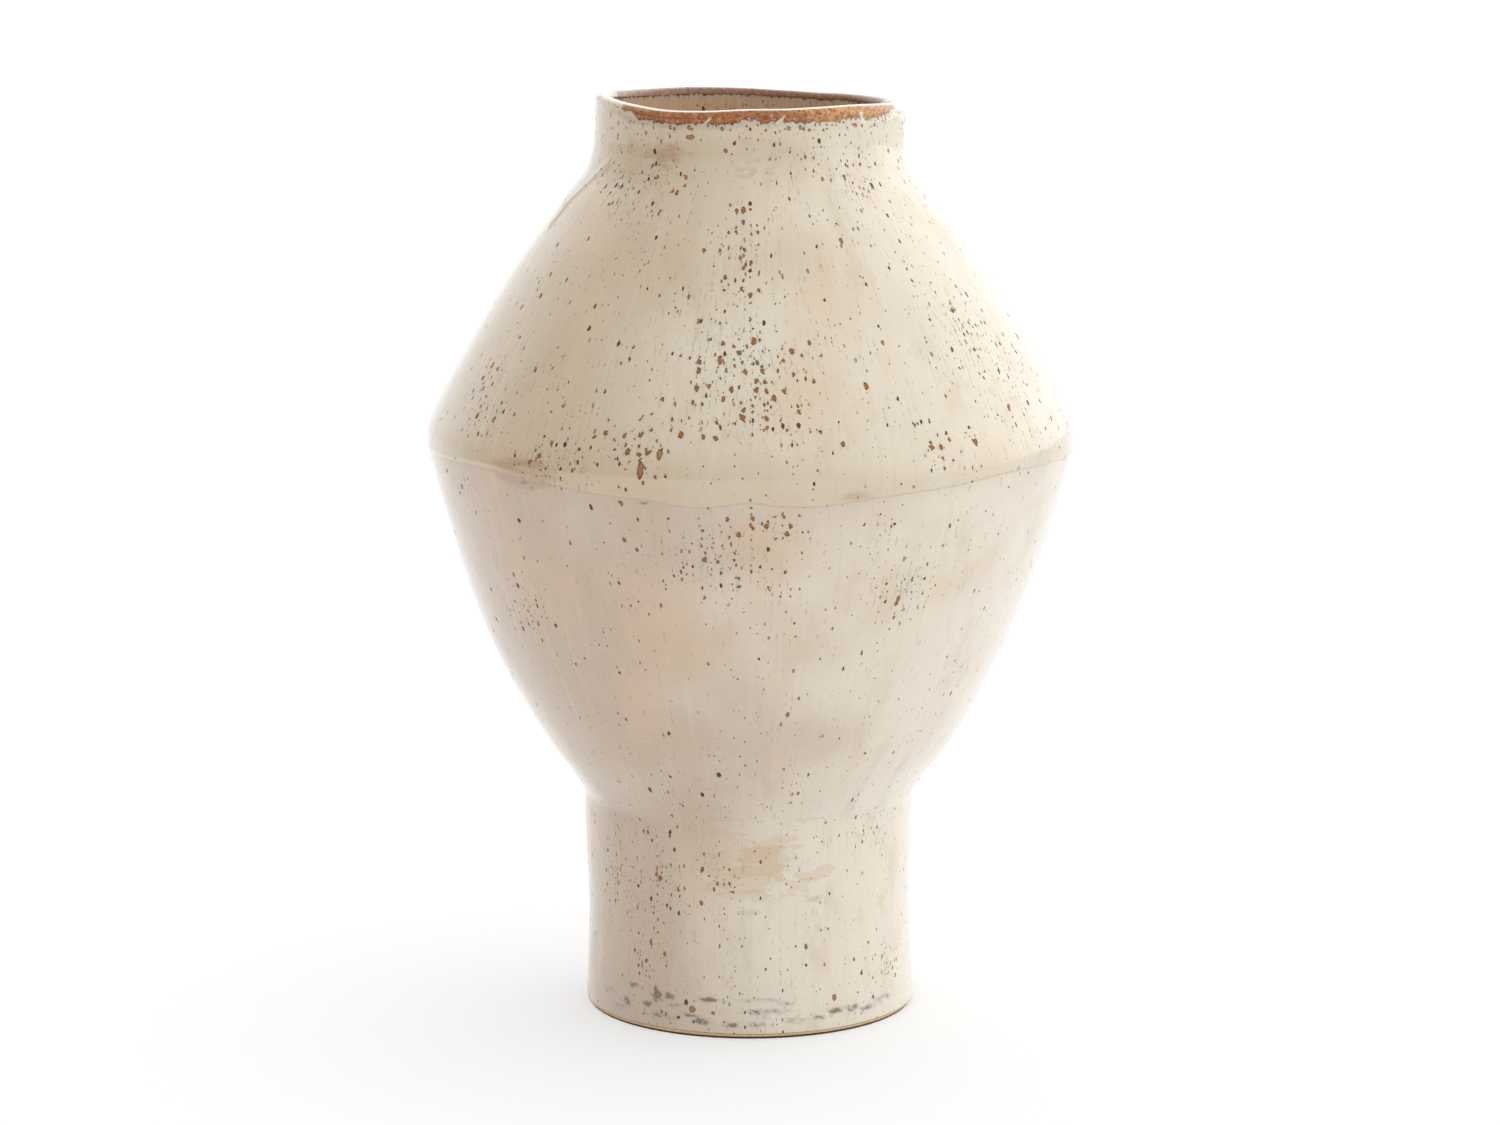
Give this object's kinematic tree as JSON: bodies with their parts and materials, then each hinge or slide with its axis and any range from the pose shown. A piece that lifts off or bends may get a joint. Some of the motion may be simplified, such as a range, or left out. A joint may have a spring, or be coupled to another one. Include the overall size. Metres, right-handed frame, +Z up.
{
  "type": "stoneware vase",
  "caption": "Tall glazed stoneware vase: straight foot, bowl swelling to a rounded belly edge, conical shoulder and short open collar, on a felt strip.",
  "frame": {"origin": "centre of the surface that the vase stands on, under the felt strip", "axes": "+Z up along the vase's axis; -Y is the front, where the gap in the felt strip is a little right of centre"},
  "size_m": [0.3034, 0.3034, 0.43],
  "materials": {
    "felt": "thin dark felt, matt",
    "bare_clay": "fired stoneware clay, tan, matt and slightly gritty",
    "slip": "fired joining slip, matt",
    "lower_glaze": "glossy pinkish cream glaze with iron specks",
    "upper_glaze": "glossy yellowish cream glaze, thicker, with iron specks and fine vertical runs",
    "rim_glaze": "glossy iron-brown glaze, mottled with dark pinholes",
    "liner_glaze": "glossy pinkish beige liner glaze with dark specks"
  },
  "bodies": {
    "root": {"felt_strip": "felt", "base_slab": "bare_clay", "base_slip": "slip", "foot_wall": "bare_clay", "foot_slip": "slip", "bowl_wall": "bare_clay", "belly_slip": "slip", "shoulder_wall": "bare_clay", "neck_slip": "slip", "collar_wall": "bare_clay", "lower_glaze": "lower_glaze", "upper_glaze": "upper_glaze", "rim_glaze": "rim_glaze", "liner_glaze": "liner_glaze"}
  },
  "joints": []
}
